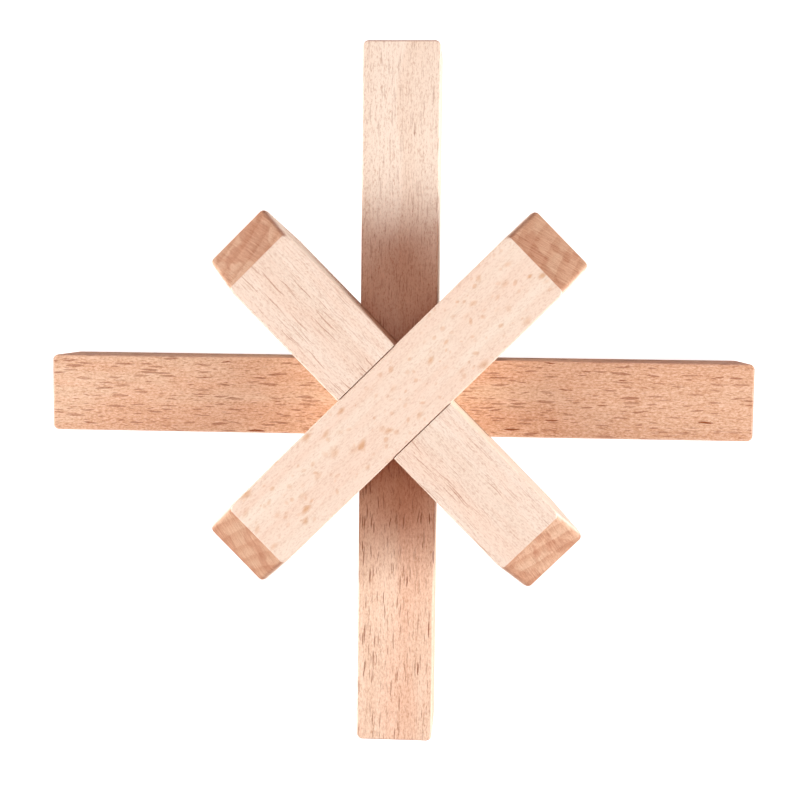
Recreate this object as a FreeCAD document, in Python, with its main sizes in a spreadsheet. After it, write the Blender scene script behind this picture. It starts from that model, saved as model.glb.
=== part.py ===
import FreeCAD, Part
import os
import Sketcher

# A burr puzzle of four square beech sticks that cross at one point. Two long, square-ended
# sticks make a plus, and two shorter, bevel-ended sticks lie diagonally over them. Each
# stick is notched down to a neck at the middle, and the four necks stack one on the other.
#
# +X runs along the horizontal stick, +Y along the vertical stick, and +Z from the backs of
# the long sticks to the faces of the diagonals. The origin is under the crossing, in the
# plane that the puzzle lies on.

doc = FreeCAD.newDocument("BurrPuzzle")

# ---- driving sizes, in millimetres ----

drivingSizes = [
    ("stickSide", 15.0, "side of the square stock"),
    ("horizontalLength", 138.0, "length of the horizontal stick"),
    ("verticalLength", 138.0, "length of the vertical stick"),
    ("diagonalFace", 73.5, "length of a diagonal's face, between its bevels"),
    ("bevelRun", 7.5, "how far each pointed end reaches past the face"),
    ("diagonalRise", 12.0, "how far the diagonals stand above the long sticks"),
    ("sideGap", 0.08, "clearance between a stick and each wall of its notch"),
    ("seatGap", 0.05, "clearance between a neck and the neck that lies on it"),
    ("arrisRadius", 0.4, "rounding of the outside edges that run along the stock or across it"),
    ("cornerRadius", 1.1, "rounding of the edges down each side of an end"),
]

sheet = doc.addObject("Spreadsheet::Sheet", "Sizes")
for row, (alias, value, meaning) in enumerate(drivingSizes, start=1):
    sheet.set("A%d" % row, alias)
    sheet.set("B%d" % row, str(value))
    sheet.set("C%d" % row, meaning)
    sheet.setAlias("B%d" % row, alias)
doc.recompute()

# ---- lengths that follow from the driving sizes ----
# Each is a sum of driving sizes, held as {alias: factor}, so that it can be written out as
# an expression over the sheet.


def total(*lengths):
    result = {}
    for length in lengths:
        for alias, factor in length.items():
            result[alias] = result.get(alias, 0) + factor
    return result


def times(factor, length):
    return {alias: factor * share for alias, share in length.items()}


def expression(length):
    return " + ".join("(%r) * Sizes.%s" % (factor, alias) for alias, factor in length.items())


def number(length):
    return sum(factor * float(sheet.get(alias)) for alias, factor in length.items())


rootTwo = 2 ** 0.5

side = {"stickSide": 1}
rise = {"diagonalRise": 1}
seatGap = {"seatGap": 1}
nothing = {}

# Four necks of one thickness fill the height from the backs to the faces.
neck = times(1 / 4, total(side, rise))

# Half the width of a notch that a stick crosses squarely, and the same measured along a
# stick that the notch crosses at 45 degrees.
halfNotch = {"stickSide": 1 / 2, "sideGap": 1}
halfSlantNotch = times(rootTwo, halfNotch)

# Cutting outlines run on past the sides of a stick by this much, so that they cut through.
pastSide = side

# ---- sketches and features ----


def originPlane(body, role):
    return [plane for plane in body.Origin.OriginFeatures if plane.Role == role][0]


def placePoint(sketch, line, corner):
    """Ties the start of a line to the origin by its x and its y."""
    for kind, axisLine, length in (("DistanceX", -2, corner[0]), ("DistanceY", -1, corner[1])):
        if length:
            constraint = Sketcher.Constraint(kind, -1, 1, line, 1, number(length))
            index = sketch.addConstraint(constraint)
            sketch.setExpression("Constraints[%d]" % index, expression(length))
        else:
            sketch.addConstraint(Sketcher.Constraint("PointOnObject", line, 1, axisLine))


def outline(body, name, role, corners, height=nothing):
    """A closed outline on one of the body's own planes, or at a height above it."""
    sketch = body.newObject("Sketcher::SketchObject", name)
    sketch.AttachmentSupport = [(originPlane(body, role), "")]
    sketch.MapMode = "FlatFace"
    if height:
        sketch.setExpression("AttachmentOffset.Base.z", expression(height))
    points = [FreeCAD.Vector(number(x), number(y), 0) for x, y in corners]
    ends = points[1:] + points[:1]
    for start, end in zip(points, ends):
        sketch.addGeometry(Part.LineSegment(start, end), False)
    lines = range(len(corners))
    for line in lines:
        following = (line + 1) % len(corners)
        sketch.addConstraint(Sketcher.Constraint("Coincident", line, 2, following, 1))
    for line in lines:
        placePoint(sketch, line, corners[line])
    return sketch


def roundedStock(name, profile):
    """A stick before it is notched, with its length along X and its back on the XY plane."""
    body = doc.addObject("PartDesign::Body", name)
    body.Label = name
    pad = body.newObject("PartDesign::Pad", name + "_stock")
    pad.Profile = outline(body, name + "_profile", "XZ_Plane", profile)
    pad.SideType = "Symmetric"
    pad.setExpression("Length", "Sizes.stickSide")
    doc.recompute()
    roundEdges(body, name + "_corners", "cornerRadius", [
        i for i, edge in enumerate(pad.Shape.Edges) if downTheSide(edge)])
    corners = body.Tip
    roundEdges(body, name + "_arrises", "arrisRadius", [
        i for i, edge in enumerate(corners.Shape.Edges) if isSharp(corners.Shape, edge)])
    return body


def downTheSide(edge):
    """Whether an edge of the stock goes down one side of an end, from face to back."""
    start, end = (vertex.Point for vertex in edge.Vertexes)
    return abs(end.z - start.z) > 0.1 and abs(end.y - start.y) < 0.1


def isSharp(shape, edge):
    """Whether the two faces at an edge meet at an angle there."""
    middle = edge.valueAt((edge.FirstParameter + edge.LastParameter) / 2)
    normals = []
    for face in shape.ancestorsOfType(edge, Part.Face):
        u, v = face.Surface.parameter(middle)
        normals.append(face.normalAt(u, v))
    return len(normals) == 2 and normals[0].getAngle(normals[1]) > 0.2


def roundEdges(body, name, alias, picked):
    """Rounds the picked edges of the body as it stands, by one of the driving sizes."""
    base = body.Tip
    rounding = body.newObject("PartDesign::Fillet", name)
    rounding.Base = (base, ["Edge%d" % (i + 1) for i in picked])
    rounding.setExpression("Radius", "Sizes." + alias)
    doc.recompute()
    if rounding.Shape.isNull() or not rounding.Shape.isValid():
        raise RuntimeError(name + " gives a broken solid")


def cutNotch(body, name, corners, depth, fromFace):
    """Cuts an outline into the stick's face, downwards, or into its back, upwards."""
    before = body.Shape.Volume
    pocket = body.newObject("PartDesign::Pocket", name)
    height = side if fromFace else nothing
    pocket.Profile = outline(body, name + "_outline", "XY_Plane", corners, height)
    pocket.Reversed = not fromFace
    pocket.setExpression("Length", expression(depth))
    doc.recompute()
    if body.Shape.Volume >= before:
        raise RuntimeError(name + " cuts nothing")


# ---- profiles, seen from the side of a stick ----


def squareProfile(lengthAlias):
    end = {lengthAlias: 1 / 2}
    return [(times(-1, end), nothing), (end, nothing), (end, side), (times(-1, end), side)]


def pointedProfile():
    """Bevels from the face and from the back meet in a chisel edge at half the thickness."""
    corner = {"diagonalFace": 1 / 2}
    tip = total(corner, {"bevelRun": 1})
    middle = times(1 / 2, side)
    right = [(corner, nothing), (tip, middle), (corner, side)]
    left = [(times(-1, x), z) for x, z in reversed(right)]
    return right + left


# ---- outlines of the notches, seen from above a stick ----


def squareNotch():
    """The way through for the stick that crosses at a right angle."""
    x = halfNotch
    y = pastSide
    return [(times(-1, x), times(-1, y)), (x, times(-1, y)), (x, y), (times(-1, x), y)]


def arrowNotch():
    """The way through for both sticks that cross at 45 degrees, with an arrow at each end."""
    x = halfSlantNotch
    y = pastSide
    wide = total(x, y)
    right = [(wide, times(-1, y)), (x, nothing), (wide, y)]
    left = [(times(-1, along), times(-1, across)) for along, across in right]
    return right + left


# ---- the four sticks ----
# The heights of the seats, from the backs up: the vertical stick lies on the horizontal one
# at one neck, the lower diagonal on both at two necks, the upper diagonal on it at three.

horizontal = roundedStock("horizontal_stick", squareProfile("horizontalLength"))
cutNotch(horizontal, "horizontal_seat", arrowNotch(), total(side, times(-2, neck)), True)
cutNotch(horizontal, "horizontal_notch", squareNotch(), total(side, times(-1, neck)), True)

vertical = roundedStock("vertical_stick", squareProfile("verticalLength"))
cutNotch(vertical, "vertical_seat", arrowNotch(), total(side, times(-2, neck)), True)
cutNotch(vertical, "vertical_notch", squareNotch(), total(neck, seatGap), False)

seatInDiagonal = total(times(2, neck), times(-1, rise), seatGap)

lower = roundedStock("lower_diagonal_stick", pointedProfile())
cutNotch(lower, "lower_seat", arrowNotch(), seatInDiagonal, False)
cutNotch(lower, "lower_notch", squareNotch(), neck, True)

upper = roundedStock("upper_diagonal_stick", pointedProfile())
cutNotch(upper, "upper_seat", arrowNotch(), seatInDiagonal, False)
upperNotchDepth = total(times(3, neck), times(-1, rise), seatGap)
cutNotch(upper, "upper_notch", squareNotch(), upperNotchDepth, False)

# ---- places ----

quarterTurn = 90
eighthTurn = 45

turns = [
    (horizontal, 0, nothing),
    (vertical, quarterTurn, nothing),
    (lower, -eighthTurn, rise),
    (upper, eighthTurn, rise),
]
for body, turn, lift in turns:
    spin = FreeCAD.Rotation(FreeCAD.Vector(0, 0, 1), turn)
    body.Placement = FreeCAD.Placement(FreeCAD.Vector(0, 0, number(lift)), spin)
    if lift:
        body.setExpression("Placement.Base.z", expression(lift))
doc.recompute()

# ---- checks and files ----

for item in doc.Objects:
    if "Invalid" in item.State or "Error" in item.State:
        raise RuntimeError(item.Name + " failed: " + str(item.State))

os.makedirs("parts", exist_ok=True)
for body, turn, lift in turns:
    shape = body.Shape
    if shape.isNull() or not shape.isValid() or len(shape.Solids) != 1:
        raise RuntimeError(body.Label + " is not one valid solid")
    shape.exportStep("parts/%s.step" % body.Label)
    box = shape.BoundBox
    print(body.Label, "%.1f x %.1f x %.1f mm" % (box.XLength, box.YLength, box.ZLength),
          "z %.2f to %.2f" % (box.ZMin, box.ZMax), "volume %.0f" % shape.Volume)
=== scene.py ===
import math

import bmesh
import bpy
from mathutils import Matrix, Vector

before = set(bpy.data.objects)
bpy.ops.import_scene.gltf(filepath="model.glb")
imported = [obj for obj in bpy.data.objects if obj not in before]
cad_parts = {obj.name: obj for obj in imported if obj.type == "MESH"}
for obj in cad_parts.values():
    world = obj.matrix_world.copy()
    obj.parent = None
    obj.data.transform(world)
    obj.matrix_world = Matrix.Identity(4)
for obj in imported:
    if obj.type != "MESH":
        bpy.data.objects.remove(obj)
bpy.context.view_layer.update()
print("frame loaded:", ", ".join(sorted(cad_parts)))

mm = 0.001
vectorKind, numberKind = "NodeSocketVector", "NodeSocketFloat"


# Node helpers. A source is either a socket to link or a plain value to set.
def addNode(tree, kind, **settings):
    node = tree.nodes.new(kind)
    for name, value in settings.items():
        setattr(node, name, value)
    return node


def plug(tree, source, target):
    if isinstance(source, bpy.types.NodeSocket):
        tree.links.new(source, target)
    else:
        target.default_value = source


def calc(tree, operation, *values, clamp=False):
    node = addNode(tree, "ShaderNodeMath", operation=operation, use_clamp=clamp)
    for socket, value in zip(node.inputs, values):
        plug(tree, value, socket)
    return node.outputs[0]


# Changes a value that swings about 0.5 into one that swings about 0, and scales it.
def swing(tree, value, depth):
    return calc(tree, "MULTIPLY", calc(tree, "SUBTRACT", value, 0.5), depth)


def ramp(tree, value, fromMin, fromMax, toMin=0.0, toMax=1.0, soft=True):
    node = addNode(tree, "ShaderNodeMapRange", clamp=True)
    node.interpolation_type = "SMOOTHSTEP" if soft else "LINEAR"
    for socket, entry in zip(node.inputs, (value, fromMin, fromMax, toMin, toMax)):
        plug(tree, entry, socket)
    return node.outputs[0]


def mixColours(tree, share, first, second, way="MIX"):
    node = addNode(tree, "ShaderNodeMix", data_type="RGBA", blend_type=way)
    for index, entry in ((0, share), (6, first), (7, second)):
        plug(tree, entry, node.inputs[index])
    return node.outputs[2]


def paintOver(tree, share, colour, paint):
    return mixColours(tree, share, colour, (*paint, 1.0))


def tint(tree, share, colour, factor):
    return mixColours(tree, share, colour, (*factor, 1.0), "MULTIPLY")


def place(tree, vector, scale=(1, 1, 1), turn=(0, 0, 0), shift=(0, 0, 0), kind="POINT"):
    node = addNode(tree, "ShaderNodeMapping", vector_type=kind)
    for label, entry in (("Vector", vector), ("Scale", scale), ("Rotation", turn)):
        plug(tree, entry, node.inputs[label])
    if kind == "POINT":
        plug(tree, shift, node.inputs["Location"])
    return node.outputs[0]


# The scale is in waves per mm along each axis. The shift keeps one noise unlike the next.
def noise(tree, vector, scale, detail, rough=0.5, shift=(0, 0, 0)):
    node = addNode(tree, "ShaderNodeTexNoise")
    plug(tree, place(tree, vector, scale, shift=shift), node.inputs["Vector"])
    for label, entry in (("Scale", 1.0), ("Detail", detail), ("Roughness", rough)):
        plug(tree, entry, node.inputs[label])
    return node.outputs[0]


def axes(tree, vector):
    node = addNode(tree, "ShaderNodeSeparateXYZ")
    plug(tree, vector, node.inputs[0])
    return node.outputs


def newGroup(name, inputs, outputs):
    group = bpy.data.node_groups.new(name, "ShaderNodeTree")
    for label, kind in inputs:
        group.interface.new_socket(label, in_out="INPUT", socket_type=kind)
    for label, kind in outputs:
        group.interface.new_socket(label, in_out="OUTPUT", socket_type=kind)
    given = group.nodes.new("NodeGroupInput").outputs
    out = group.nodes.new("NodeGroupOutput").inputs
    return group, given, out


def useGroup(tree, group, values):
    node = addNode(tree, "ShaderNodeGroup", node_tree=group)
    for label, value in values.items():
        plug(tree, value, node.inputs[label])
    return node.outputs


# Every group works in millimetres in the wood's own directions: x along the grain,
# y around the growth rings and z outwards from the heart of the tree.
def makeGrowthRings():
    group, given, out = newGroup(
        "growthRings",
        [("Wood", vectorKind), ("Heart", numberKind), ("Ring Width", numberKind),
         ("Wander", numberKind)],
        [("Late Wood", numberKind), ("Years", numberKind)])
    rippleDepth = 0.5               # mm
    lateStart, lateEnd = 0.25, 0.9  # shares of a year's growth
    x, y, z = axes(group, given["Wood"])
    wander = noise(group, given["Wood"], (0.018, 0.05, 0.05), 2.0, 0.45)
    wander = swing(group, wander, given["Wander"])
    ripple = noise(group, given["Wood"], (0.1, 0.5, 0.5), 2.0, 0.5, (7, 3, 1))
    ripple = swing(group, ripple, rippleDepth)
    depth = calc(group, "ADD", z, given["Heart"])
    radius = calc(group, "SQRT", calc(group, "ADD", calc(group, "MULTIPLY", y, y),
                                      calc(group, "MULTIPLY", depth, depth)))
    radius = calc(group, "ADD", calc(group, "ADD", radius, wander), ripple)
    phase = calc(group, "FRACT", calc(group, "DIVIDE", radius, given["Ring Width"]))
    late = calc(group, "MULTIPLY", ramp(group, phase, lateStart, lateEnd),
                ramp(group, phase, lateEnd, 1.0, 1.0, 0.0))
    plug(group, late, out["Late Wood"])
    years = noise(group, given["Wood"], (0.01, 0.12, 0.3), 3.0, 0.55, (2, 9, 4))
    plug(group, years, out["Years"])
    return group


# Rays are thin upright sheets: spindles on a tangential face, wide flecks on a radial one.
def makeRays():
    group, given, out = newGroup(
        "rays",
        [("Wood", vectorKind), ("Length", numberKind), ("Thickness", numberKind),
         ("Reach", numberKind), ("Share", numberKind), ("Soft", numberKind)],
        [("Ray", numberKind)])
    reach = 0.34                       # how far a ray spreads in its cell, as a share of the cell
    smallest, largest = 0.55, 1.3      # times that reach
    swayDepth = 0.9                    # mm, sideways
    pointedness = 1.6                  # 1 gives diamonds, 2 gives ovals
    faintest = 0.4                     # the palest ray's share of the darkest one's tone
    x, y, z = axes(group, given["Wood"])
    sway = noise(group, given["Wood"], (0.22, 0.5, 0.1), 1.0, 0.5, (5, 5, 5))
    swayed = calc(group, "ADD", y, swing(group, sway, swayDepth))
    packed = addNode(group, "ShaderNodeCombineXYZ")
    spread = 0.5 / reach               # a cell's size, as a share of the ray's own
    sides = ((x, given["Length"]), (swayed, given["Thickness"]), (z, given["Reach"]))
    for index, (value, size) in enumerate(sides):
        plug(group, calc(group, "DIVIDE", value, calc(group, "MULTIPLY", size, spread)),
             packed.inputs[index])
    cells = addNode(group, "ShaderNodeTexVoronoi", feature="F1", distance="MINKOWSKI")
    plug(group, packed.outputs[0], cells.inputs["Vector"])
    plug(group, 1.0, cells.inputs["Scale"])
    plug(group, pointedness, cells.inputs["Exponent"])
    luck = addNode(group, "ShaderNodeSeparateColor")
    plug(group, cells.outputs["Color"], luck.inputs[0])
    size = ramp(group, luck.outputs[1], 0.0, 1.0, smallest * reach, largest * reach, False)
    core = calc(group, "MULTIPLY", size, calc(group, "SUBTRACT", 1.0, given["Soft"]))
    shape = ramp(group, cells.outputs["Distance"], size, core)
    kept = calc(group, "GREATER_THAN", luck.outputs[0],
                calc(group, "SUBTRACT", 1.0, given["Share"]))
    tone = ramp(group, luck.outputs[2], 0.0, 1.0, faintest, 1.0, False)
    ray = calc(group, "MULTIPLY", calc(group, "MULTIPLY", shape, kept), tone)
    plug(group, ray, out["Ray"])
    return group


# Fine fibre streaks and grit as tones around 0, open pores as a mask, and soft clouds.
def makeFibre():
    group, given, out = newGroup(
        "fibre",
        [("Wood", vectorKind)],
        [("Streak", numberKind), ("Pore", numberKind),
         ("Cloud", numberKind), ("Grit", numberKind)])
    coarseShare, hairShare = 1.1, 0.9
    poreRange = (0.6, 0.75)            # of the noise: from no pore to an open one
    wood = given["Wood"]
    coarse = noise(group, wood, (0.12, 2.4, 2.4), 3.0, 0.6)
    hair = noise(group, wood, (0.5, 9.0, 9.0), 2.0, 0.6, (3, 1, 2))
    pores = noise(group, wood, (0.9, 11.0, 11.0), 1.0, 0.5, (8, 2, 6))
    grit = noise(group, wood, (1.5, 3.6, 3.6), 2.0, 0.75, (1, 9, 9))
    clouds = noise(group, wood, (0.05, 0.2, 0.2), 3.0, 0.55, (4, 4, 1))
    coarse, hair = swing(group, coarse, coarseShare), swing(group, hair, hairShare)
    plug(group, calc(group, "ADD", coarse, hair), out["Streak"])
    plug(group, ramp(group, pores, *poreRange), out["Pore"])
    plug(group, clouds, out["Cloud"])
    plug(group, swing(group, grit, 1.0), out["Grit"])
    return group


# Where the grain runs out of a face: bevels and square ends.
def makeEndGrain():
    group, given, out = newGroup(
        "endGrain",
        [("Wood", vectorKind), ("Facing", vectorKind)],
        [("End", numberKind), ("Lines", numberKind), ("Patches", numberKind)])
    endRange = (0.35, 0.62)         # how much of a face's normal lies along the grain
    lineShare, dotShare = 1.6, 0.7
    along = axes(group, given["Facing"])[0]
    lines = noise(group, given["Wood"], (0.3, 7.0, 0.25), 2.0, 0.7, (1, 6, 3))
    dots = noise(group, given["Wood"], (0.4, 9.0, 9.0), 1.0, 0.5, (6, 6, 6))
    patches = noise(group, given["Wood"], (0.12, 0.22, 0.14), 2.0, 0.5, (9, 1, 5))
    lines, dots = swing(group, lines, lineShare), swing(group, dots, dotShare)
    plug(group, ramp(group, calc(group, "ABSOLUTE", along), *endRange), out["End"])
    plug(group, calc(group, "ADD", lines, dots), out["Lines"])
    plug(group, patches, out["Patches"])
    return group


# Arrises rubbed smooth and pale by hands and sandpaper, and made paler still by a painted
# highlight
# where light catches the rounded edges: where the normal turns from one face towards the next.
def makeArrisWearAndHighlight():
    group, given, out = newGroup(
        "arrisWearAndHighlight",
        [("Wood", vectorKind), ("Facing", vectorKind)],
        [("Wear And Highlight", numberKind)])
    sideRange = (0.08, 0.4)          # of the product of two parts of the normal
    leaveFace = (0.05, 0.3)          # of the normal's part along the grain
    reachBevel = (0.6, 0.69)
    patchRange, leastMark = (0.3, 0.62), 0.35
    nx, ny, nz = (calc(group, "ABSOLUTE", part) for part in axes(group, given["Facing"]))
    side = ramp(group, calc(group, "MULTIPLY", ny, calc(group, "MAXIMUM", nz, nx)), *sideRange)
    end = calc(group, "MULTIPLY", ramp(group, nx, *leaveFace),
               ramp(group, nx, *reachBevel, 1.0, 0.0))
    patchy = noise(group, given["Wood"], (0.15, 0.6, 0.6), 3.0, 0.6, (3, 8, 8))
    wearAndHighlight = calc(group, "MULTIPLY", calc(group, "MAXIMUM", side, end),
                ramp(group, patchy, *patchRange, leastMark, 1.0))
    plug(group, wearAndHighlight, out["Wear And Highlight"])
    return group


growthRings, rays, fibre = makeGrowthRings(), makeRays(), makeFibre()
endGrain, arrisWearAndHighlight = makeEndGrain(), makeArrisWearAndHighlight()

# What the four sticks' wood has in common.
beech = {
    "bodyRange": (0.36, 0.64), "lateTint": (0.80, 0.64, 0.53),
    "darkStreak": (0.62, 0.42, 0.32), "gleam": 0.6, "gleamColour": (0.97, 0.84, 0.72),
    "endRings": 0.4, "endRingTint": (0.78, 0.62, 0.52),
    "patchRange": (0.48, 0.52), "patchTint": (0.86, 0.75, 0.70),
    "endDark": 1.6, "endDarkTint": (0.60, 0.42, 0.32),
    "endPale": 0.9, "endPaleColour": (0.80, 0.58, 0.41),
    # The pale arris colour is part sanding wear and part painted highlight.
    "wornAndHighlightColour": (0.86, 0.70, 0.58), "bounceTint": (0.95, 0.74, 0.67),
    "cloudRange": (0.3, 0.7), "roughness": (0.50, 0.60), "endRoughness": 0.16,
    "wornPolish": 0.12, "fleckPolish": 0.08, "shine": 0.35,
    "streakRelief": 0.5, "poreRelief": 0.8, "fleckRelief": 0.35, "endRelief": 1.2,
    "relief": 0.05 * mm}
# The second, smaller set of rays, as shares of the first.
smallRays = {"length": 0.45, "thickness": 0.6, "reach": 0.4, "share": 1.3, "soft": 0.6,
             "shift": (31, 17, 5)}


def addRays(tree, wood, look):
    big = useGroup(tree, rays, {
        "Wood": wood, "Length": look["rayLength"], "Thickness": look["rayThickness"],
        "Reach": look["rayReach"], "Share": look["rayShare"], "Soft": look["raySoft"]})
    small = useGroup(tree, rays, {
        "Wood": place(tree, wood, shift=smallRays["shift"]),
        "Length": look["rayLength"] * smallRays["length"],
        "Thickness": look["rayThickness"] * smallRays["thickness"],
        "Reach": look["rayReach"] * smallRays["reach"],
        "Share": look["rayShare"] * smallRays["share"], "Soft": smallRays["soft"]})
    faint = calc(tree, "MULTIPLY", small["Ray"], look["smallRays"])
    return calc(tree, "MAXIMUM", big["Ray"], faint)


def makeBeech(name, look):
    material = bpy.data.materials.new(name)
    material.use_nodes = True
    tree = material.node_tree
    tree.nodes.clear()
    whole = addNode(tree, "ShaderNodeOutputMaterial")
    shader = addNode(tree, "ShaderNodeBsdfPrincipled")
    tree.links.new(shader.outputs[0], whole.inputs[0])

    where = addNode(tree, "ShaderNodeTexCoord")
    turn = (0.0, 0.0, -math.radians(look["direction"]))
    roll = (math.radians(look["roll"]), 0.0, 0.0)
    wood = place(tree, where.outputs["Object"], (1 / mm,) * 3, turn)
    wood = place(tree, wood, (1, 1, 1), roll, look["offset"])
    facing = place(tree, where.outputs["Normal"], (1, 1, 1), turn, kind="VECTOR")

    rings = useGroup(tree, growthRings, {"Wood": wood, "Ring Width": look["ringWidth"],
                                         "Heart": look["heart"], "Wander": look["wander"]})
    threads = useGroup(tree, fibre, {"Wood": wood})
    ends = useGroup(tree, endGrain, {"Wood": wood, "Facing": facing})
    wornAndLit = useGroup(tree, arrisWearAndHighlight, {"Wood": wood, "Facing": facing})
    flecks = addRays(tree, wood, look)

    # The board's own colour, which may fade towards one end, and its late wood
    body = ramp(tree, calc(tree, "ADD", calc(tree, "MULTIPLY", rings["Years"], 0.5),
                           calc(tree, "MULTIPLY", threads["Cloud"], 0.5)), *beech["bodyRange"])
    colour = mixColours(tree, body, (*look["pale"], 1), (*look["deep"], 1))
    faded = ramp(tree, axes(tree, wood)[0], *look["fade"], 0.0, look["fadeDepth"])
    colour = paintOver(tree, faded, colour, look["fadeColour"])
    colour = tint(tree, calc(tree, "MULTIPLY", rings["Late Wood"], look["ringDepth"]),
                  colour, beech["lateTint"])

    # Streaks and grit, then the ray flecks
    texture = calc(tree, "ADD", calc(tree, "MULTIPLY", threads["Streak"], look["fibreDepth"]),
                   calc(tree, "MULTIPLY", threads["Grit"], look["gritDepth"]))
    dark = calc(tree, "MULTIPLY", texture, 1.0, clamp=True)
    gleam = calc(tree, "MULTIPLY", texture, -beech["gleam"], clamp=True)
    colour = tint(tree, dark, colour, beech["darkStreak"])
    colour = paintOver(tree, gleam, colour, beech["gleamColour"])
    flecks = calc(tree, "MULTIPLY", flecks, calc(
        tree, "SUBTRACT", 1.0, calc(tree, "MULTIPLY", faded, look["fadeRays"])))
    along = calc(tree, "SUBTRACT", 1.0, ends["End"])
    colour = tint(tree, calc(tree, "MULTIPLY", calc(tree, "MULTIPLY", flecks, along),
                             look["rayDepth"]), colour, look["rayTint"])

    # End grain
    cut = tint(tree, 1.0, colour, look["endTint"])
    cut = tint(tree, calc(tree, "MULTIPLY", rings["Late Wood"], beech["endRings"]), cut,
               beech["endRingTint"])
    cut = tint(tree, ramp(tree, ends["Patches"], *beech["patchRange"]), cut, beech["patchTint"])
    dark = calc(tree, "MULTIPLY", ends["Lines"], beech["endDark"], clamp=True)
    pale = calc(tree, "MULTIPLY", ends["Lines"], -beech["endPale"], clamp=True)
    cut = tint(tree, dark, cut, beech["endDarkTint"])
    cut = paintOver(tree, pale, cut, beech["endPaleColour"])
    colour = mixColours(tree, ends["End"], colour, cut)
    # Pale arrises: part sanding wear, part a painted highlight of light catching the edges.
    colour = paintOver(tree, calc(tree, "MULTIPLY", wornAndLit["Wear And Highlight"], look["wearAndHighlight"]), colour,
                       beech["wornAndHighlightColour"])

    # Light that bounces from stick to stick is held back a little, to deepen the shade.
    bounce = addNode(tree, "ShaderNodeLightPath").outputs["Is Diffuse Ray"]
    plug(tree, tint(tree, bounce, colour, beech["bounceTint"]), shader.inputs["Base Color"])

    rough = ramp(tree, threads["Cloud"], *beech["cloudRange"], *beech["roughness"], False)
    for way, mask, amount in (("ADD", ends["End"], "endRoughness"),
                              ("SUBTRACT", wornAndLit["Wear And Highlight"], "wornPolish"),
                              ("SUBTRACT", flecks, "fleckPolish")):
        rough = calc(tree, way, rough, calc(tree, "MULTIPLY", mask, beech[amount]))
    plug(tree, rough, shader.inputs["Roughness"])
    plug(tree, beech["shine"], shader.inputs["Specular IOR Level"])

    height = calc(tree, "MULTIPLY", threads["Streak"], -beech["streakRelief"])
    height = calc(tree, "SUBTRACT", height,
                  calc(tree, "MULTIPLY", threads["Pore"], beech["poreRelief"]))
    height = calc(tree, "SUBTRACT", height, calc(tree, "MULTIPLY", flecks, beech["fleckRelief"]))
    height = calc(tree, "SUBTRACT", height, calc(
        tree, "MULTIPLY", calc(tree, "MULTIPLY", ends["Lines"], ends["End"]), beech["endRelief"]))
    bump = addNode(tree, "ShaderNodeBump")
    plug(tree, height, bump.inputs["Height"])
    plug(tree, look["bump"], bump.inputs["Strength"])
    plug(tree, beech["relief"], bump.inputs["Distance"])
    tree.links.new(bump.outputs[0], shader.inputs["Normal"])
    return material


def dress(node, look):
    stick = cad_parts[node]
    stick.data.materials.clear()
    stick.data.materials.append(makeBeech(look["slot"], look))
    print("dressed", node)


# direction: which way the stick runs, in degrees from x. roll: 0 cuts the front face
# along the rings, 90 cuts it straight out from the heart. Sizes are in mm.
# wear: how strongly the arrises are paled, part sanding wear and part painted highlight.
horizontalLook = {
    "slot": "horizontal_beech",
    "direction": 0, "roll": 6, "offset": (0, 3, 40), "heart": 60,
    "pale": (0.73, 0.605, 0.44), "deep": (0.675, 0.46, 0.30), "endTint": (0.70, 0.53, 0.43),
    "fade": (5, 50), "fadeDepth": 0.65, "fadeColour": (0.625, 0.41, 0.26), "fadeRays": 0.0,
    "ringWidth": 3.4, "wander": 9.0, "ringDepth": 0.3, "fibreDepth": 0.9, "gritDepth": 3.2,
    "rayLength": 3.6, "rayThickness": 0.42, "rayReach": 6.0, "rayShare": 0.85, "raySoft": 0.15,
    "rayDepth": 1.0, "rayTint": (0.38, 0.17, 0.085), "smallRays": 0.55, "wearAndHighlight": 0.25, "bump": 0.6}
dress("horizontal_stick", horizontalLook)

verticalLook = {
    "slot": "vertical_beech",
    "direction": 90, "roll": 20, "offset": (11, -8, 15), "heart": 60,
    "pale": (0.745, 0.64, 0.50), "deep": (0.725, 0.555, 0.415), "endTint": (0.70, 0.53, 0.43),
    "fade": (0, 40), "fadeDepth": 0.9, "fadeColour": (0.78, 0.785, 0.685), "fadeRays": 0.65,
    "ringWidth": 2.3, "wander": 4.0, "ringDepth": 0.25, "fibreDepth": 1.0, "gritDepth": 2.8,
    "rayLength": 3.8, "rayThickness": 0.28, "rayReach": 6.0, "rayShare": 0.85, "raySoft": 0.2,
    "rayDepth": 1.0, "rayTint": (0.36, 0.19, 0.115), "smallRays": 0.5, "wearAndHighlight": 0.25, "bump": 0.6}
dress("vertical_stick", verticalLook)

lowerDiagonalLook = {
    "slot": "lower_diagonal_beech",
    "direction": -45, "roll": 14, "offset": (-23, 6, -9), "heart": 60,
    "pale": (0.77, 0.77, 0.675), "deep": (0.755, 0.69, 0.58), "endTint": (0.72, 0.53, 0.425),
    "fade": (0, 50), "fadeDepth": 0.3, "fadeColour": (0.74, 0.60, 0.475), "fadeRays": 0.0,
    "ringWidth": 2.6, "wander": 3.0, "ringDepth": 0.2, "fibreDepth": 0.85, "gritDepth": 2.2,
    "rayLength": 6.5, "rayThickness": 0.22, "rayReach": 6.0, "rayShare": 0.85, "raySoft": 0.4,
    "rayDepth": 0.7, "rayTint": (0.56, 0.38, 0.30), "smallRays": 0.6, "wearAndHighlight": 0.1, "bump": 0.5}
dress("lower_diagonal_stick", lowerDiagonalLook)

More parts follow.
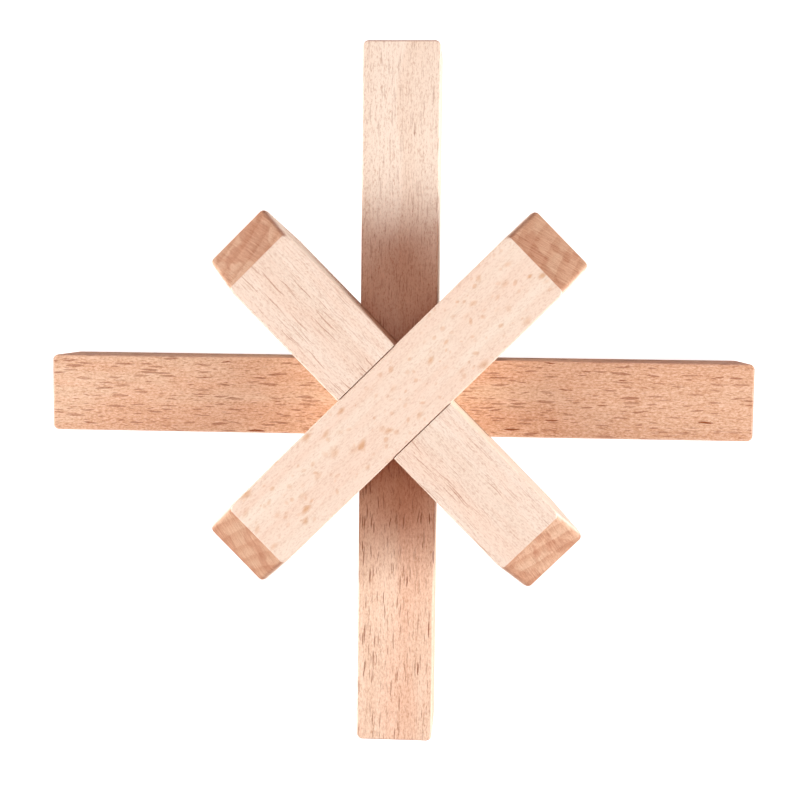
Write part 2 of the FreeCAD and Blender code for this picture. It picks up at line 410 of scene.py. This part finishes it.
upperDiagonalLook = {        # this one doesn't fade, so its fadeDepth is 0
    "slot": "upper_diagonal_beech",
    "direction": 45, "roll": 74, "offset": (37, 21, 3), "heart": 60,
    "pale": (0.77, 0.765, 0.66), "deep": (0.755, 0.69, 0.58), "endTint": (0.66, 0.465, 0.36),
    "fade": (0, 50), "fadeDepth": 0.0, "fadeColour": (0.80, 0.62, 0.49), "fadeRays": 0.0,
    "ringWidth": 2.8, "wander": 3.0, "ringDepth": 0.12, "fibreDepth": 0.3, "gritDepth": 1.6,
    "rayLength": 3.2, "rayThickness": 0.5, "rayReach": 7.0, "rayShare": 1.0, "raySoft": 0.8,
    "rayDepth": 1.0, "rayTint": (0.80, 0.60, 0.43), "smallRays": 0.6, "wearAndHighlight": 0.1, "bump": 0.4}
dress("upper_diagonal_stick", upperDiagonalLook)

# Floor and light
floorLook = {"size": 3.0, "drop": -0.02 * mm, "colour": (0.5, 0.5, 0.5, 1.0), "roughness": 0.9,
             "glowColour": (1.0, 1.0, 1.0, 1.0), "glow": 0.12, "seenGlow": 0.85}
floorMesh = bpy.data.meshes.new("floor")
sheet = bmesh.new()
bmesh.ops.create_grid(sheet, x_segments=1, y_segments=1, size=floorLook["size"] / 2)
sheet.to_mesh(floorMesh)
sheet.free()
floor = bpy.data.objects.new("floor", floorMesh)
floor.location.z = floorLook["drop"]
bpy.context.scene.collection.objects.link(floor)
paint = bpy.data.materials.new("floorPaint")
paint.use_nodes = True
floorShader = paint.node_tree.nodes["Principled BSDF"]
plug(paint.node_tree, floorLook["colour"], floorShader.inputs["Base Color"])
plug(paint.node_tree, floorLook["roughness"], floorShader.inputs["Roughness"])
plug(paint.node_tree, floorLook["glowColour"], floorShader.inputs["Emission Color"])
# The floor shows white but sends little light back, which keeps the low sides from glaring.
seen = addNode(paint.node_tree, "ShaderNodeLightPath").outputs["Is Camera Ray"]
glow = ramp(paint.node_tree, seen, 0.0, 1.0, floorLook["glow"], floorLook["seenGlow"], False)
plug(paint.node_tree, glow, floorShader.inputs["Emission Strength"])
floor.data.materials.append(paint)

softboxes = {        # name: (azimuth from x, height angle, distance, size, watts)
    "leftBox": (187, 20.7, 0.55, 0.3, 4.5),
    "rightBox": (-8, 20.7, 0.55, 0.3, 4.5),
    "topBox": (90, 82, 0.75, 0.45, 0.45)}
for name, (azimuth, elevation, distance, size, watts) in softboxes.items():
    lamp = bpy.data.lights.new(name, "AREA")
    lamp.size, lamp.energy = size, watts
    box = bpy.data.objects.new(name, lamp)
    bpy.context.scene.collection.objects.link(box)
    around, up = math.radians(azimuth), math.radians(elevation)
    out = Vector((math.cos(around) * math.cos(up), math.sin(around) * math.cos(up), math.sin(up)))
    box.location = out * distance
    box.rotation_euler = out.to_track_quat("Z", "Y").to_euler()

# The room lights the shade a warm red brown, and shows white behind the floor.
roomLook = {"fill": (0.36, 0.108, 0.062, 1.0), "backdrop": (1.0, 1.0, 1.0, 1.0)}
studio = bpy.data.worlds.new("studio")
studio.use_nodes = True
air = studio.node_tree
seen = addNode(air, "ShaderNodeLightPath").outputs["Is Camera Ray"]
plug(air, mixColours(air, seen, roomLook["fill"], roomLook["backdrop"]),
     air.nodes["Background"].inputs["Color"])
bpy.context.scene.world = studio
bpy.context.scene.view_settings.view_transform = "Standard"
print("floor and lights placed")

# Camera: nearly straight down onto the faces, a little from the upper right. Angles are in
# degrees. The distance from the long sticks' faces and the slide across them are in mm.
cameraLook = {"pitch": 4.5, "yaw": -3.4, "roll": -0.66, "distance": 255.5, "slide": (-0.42, 0.51),
              "lens": 58.5, "sensor": 36.0, "faceHeight": 15.0, "clip": (0.01, 10.0)}
turned = (Matrix.Rotation(math.radians(cameraLook["roll"]), 3, "Z")
          @ Matrix.Rotation(math.radians(cameraLook["pitch"]), 3, "X")
          @ Matrix.Rotation(math.radians(cameraLook["yaw"]), 3, "Y"))
eye = Vector((-cameraLook["slide"][0], -cameraLook["slide"][1], cameraLook["distance"]))
spot = (turned.transposed() @ eye + Vector((0, 0, cameraLook["faceHeight"]))) * mm
lens = bpy.data.cameras.new("camera")
lens.lens, lens.sensor_width = cameraLook["lens"], cameraLook["sensor"]
lens.clip_start, lens.clip_end = cameraLook["clip"]
camera = bpy.data.objects.new("camera", lens)
bpy.context.scene.collection.objects.link(camera)
camera.matrix_world = Matrix.Translation(spot) @ turned.transposed().to_4x4()
bpy.context.scene.camera = camera
print("camera placed")
